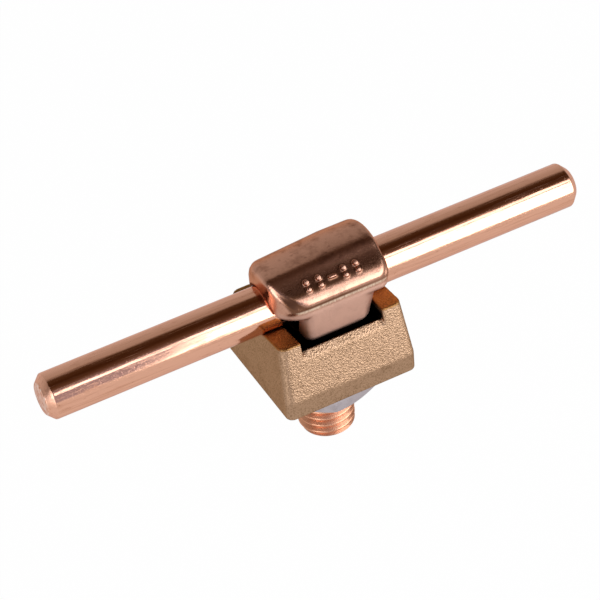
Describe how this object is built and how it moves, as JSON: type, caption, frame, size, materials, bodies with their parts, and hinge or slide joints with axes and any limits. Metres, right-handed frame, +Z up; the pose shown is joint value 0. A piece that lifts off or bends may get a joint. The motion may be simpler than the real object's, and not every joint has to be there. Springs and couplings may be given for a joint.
{
  "type": "round conductor connector",
  "caption": "Eye-bolt connector that clamps a round conductor on a cast saddle, drawn down by a nut on its threaded shank.",
  "frame": {"origin": "on the conductor's axis, straight above the threaded shank's axis", "axes": "+X along the conductor, +Y towards the back, +Z up, away from the threaded shank's free end"},
  "size_m": [0.1, 0.023, 0.0392],
  "materials": {
    "cast_bronze": "sand-cast bronze, dull gold-brown with a fine grained skin",
    "forged_copper": "forged copper, satin red-brown with rubbed bright edges",
    "plated_steel": "plated steel, grey with a faint lilac cast",
    "bright_copper": "drawn copper, highly polished, with fine lengthwise scratches"
  },
  "bodies": {
    "saddle": {"saddle_body": "cast_bronze", "round_conductor": "bright_copper"},
    "bolt": {"eye_bolt": "forged_copper"},
    "nut": {"hex_nut": "plated_steel"}
  },
  "joints": [
    {"name": "nut_turn", "type": "hinge", "parent": "saddle", "child": "nut", "pos_m": [0, 0, -0.018], "axis": [0, 0, -1], "range_deg": [0, 424]},
    {"name": "bolt_slide", "type": "slide", "parent": "saddle", "child": "bolt", "axis": [0, 0, 1], "range_m": [0, 0.00176]}
  ],
  "couplings": [
    {"joint": "nut_turn", "follows": "bolt_slide", "rad_per_m": 4188.8}
  ]
}
